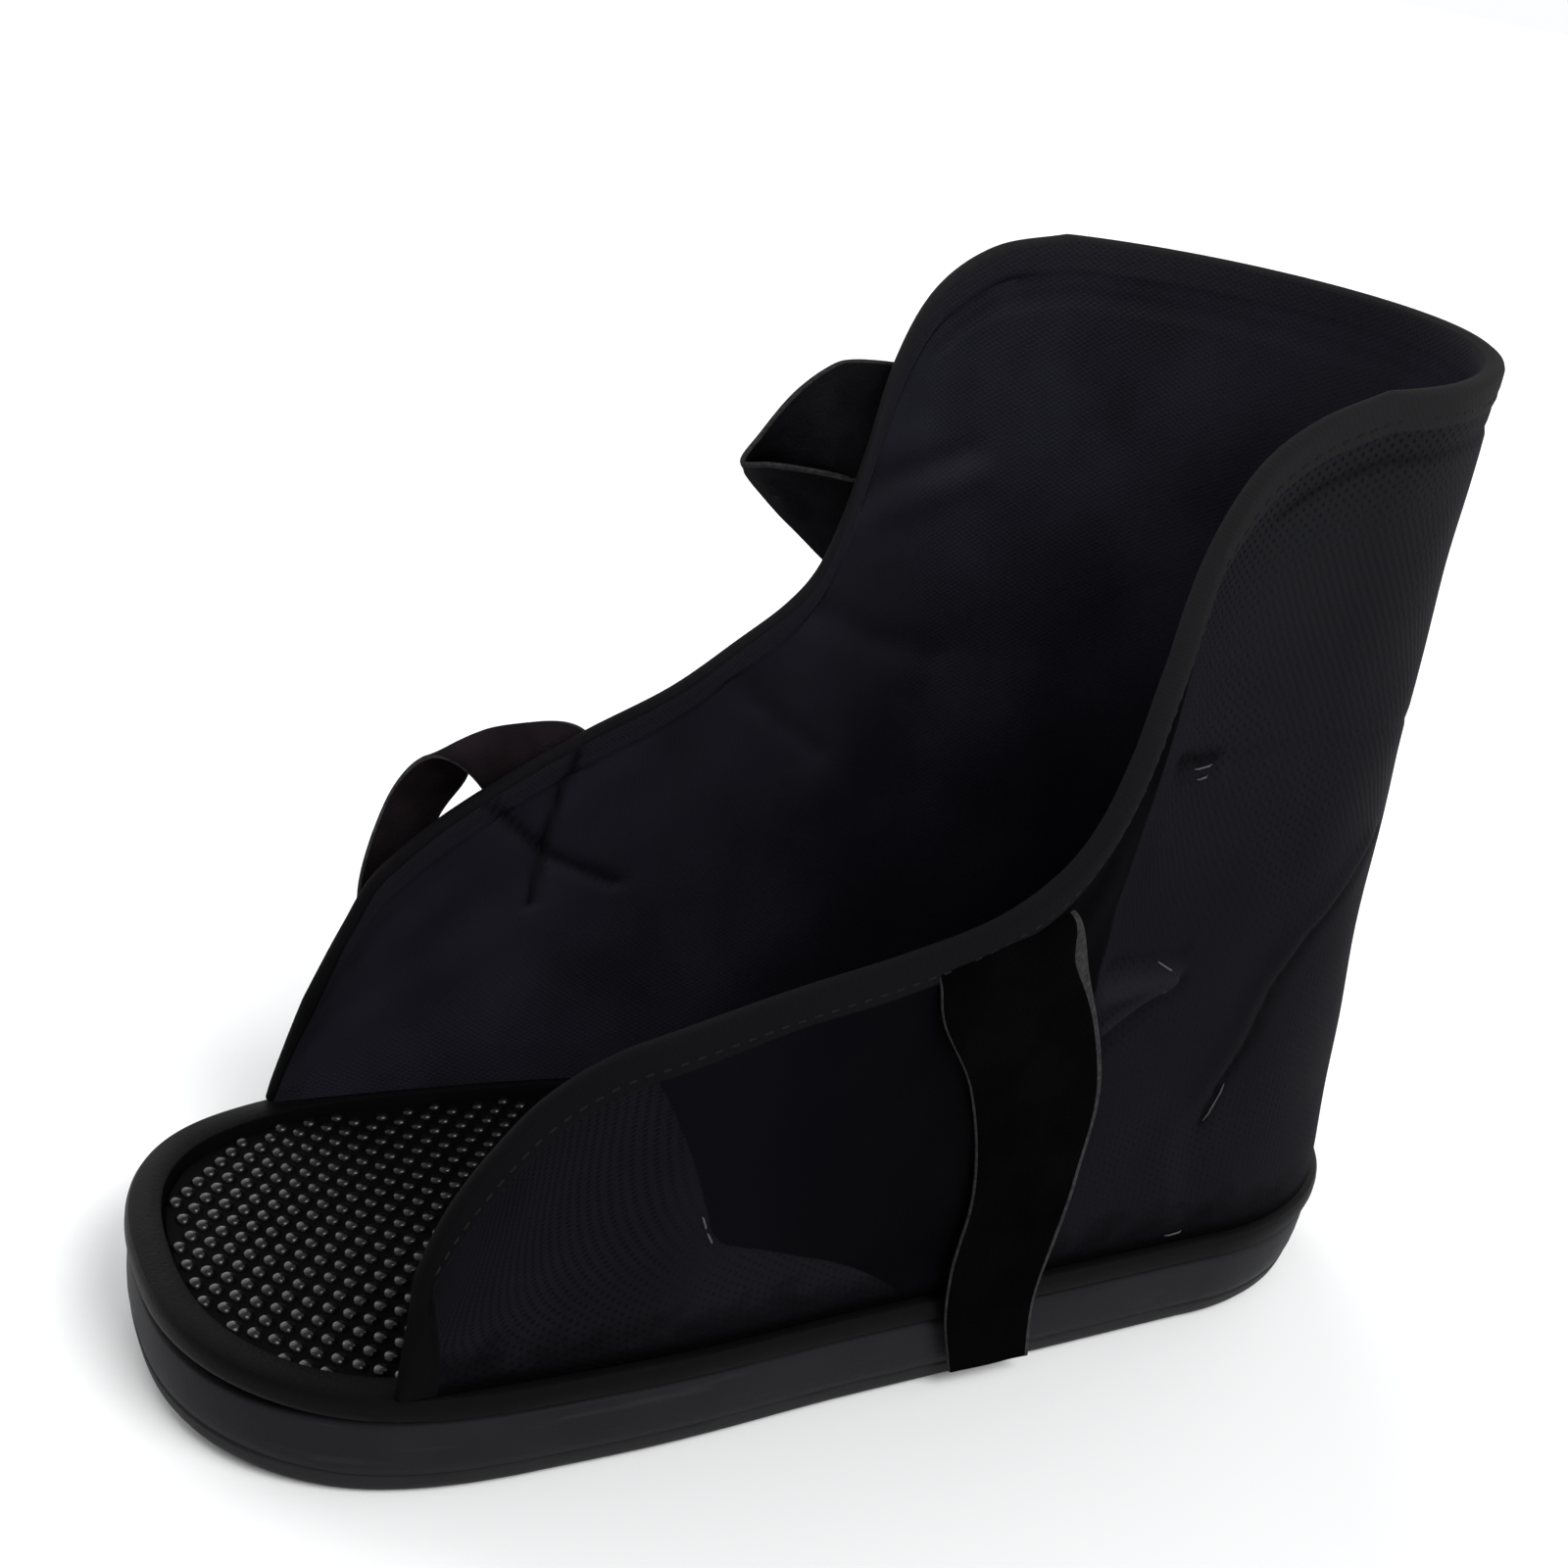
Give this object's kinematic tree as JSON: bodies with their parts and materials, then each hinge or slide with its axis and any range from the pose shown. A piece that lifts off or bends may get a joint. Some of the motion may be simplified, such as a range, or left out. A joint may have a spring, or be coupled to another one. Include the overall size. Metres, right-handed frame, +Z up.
{
  "type": "post operative shoe",
  "caption": "Ankle-high post operative shoe with an open toe and throat, a thick flat sole, a hollow cloth upper and loose straps.",
  "frame": {"origin": "on the flat underside of the sole, halfway along its length and on its centre line", "axes": "+X towards the toe, +Y towards the wearer's left, +Z up"},
  "size_m": [0.3, 0.149, 0.2378],
  "materials": {
    "dark_rubber": "matte",
    "charcoal_foam": "satin",
    "black_footbed": "satin",
    "black_mesh_cloth": "matte",
    "black_pile_instep": "matte",
    "black_pile_forefoot": "matte",
    "black_pile_ankle": "matte"
  },
  "bodies": {
    "root": {"outsole": "dark_rubber", "midsole": "charcoal_foam", "insole": "black_footbed", "upper": "black_mesh_cloth", "instep_strap": "black_pile_instep", "forefoot_strap": "black_pile_forefoot", "ankle_strap": "black_pile_ankle"}
  },
  "joints": []
}
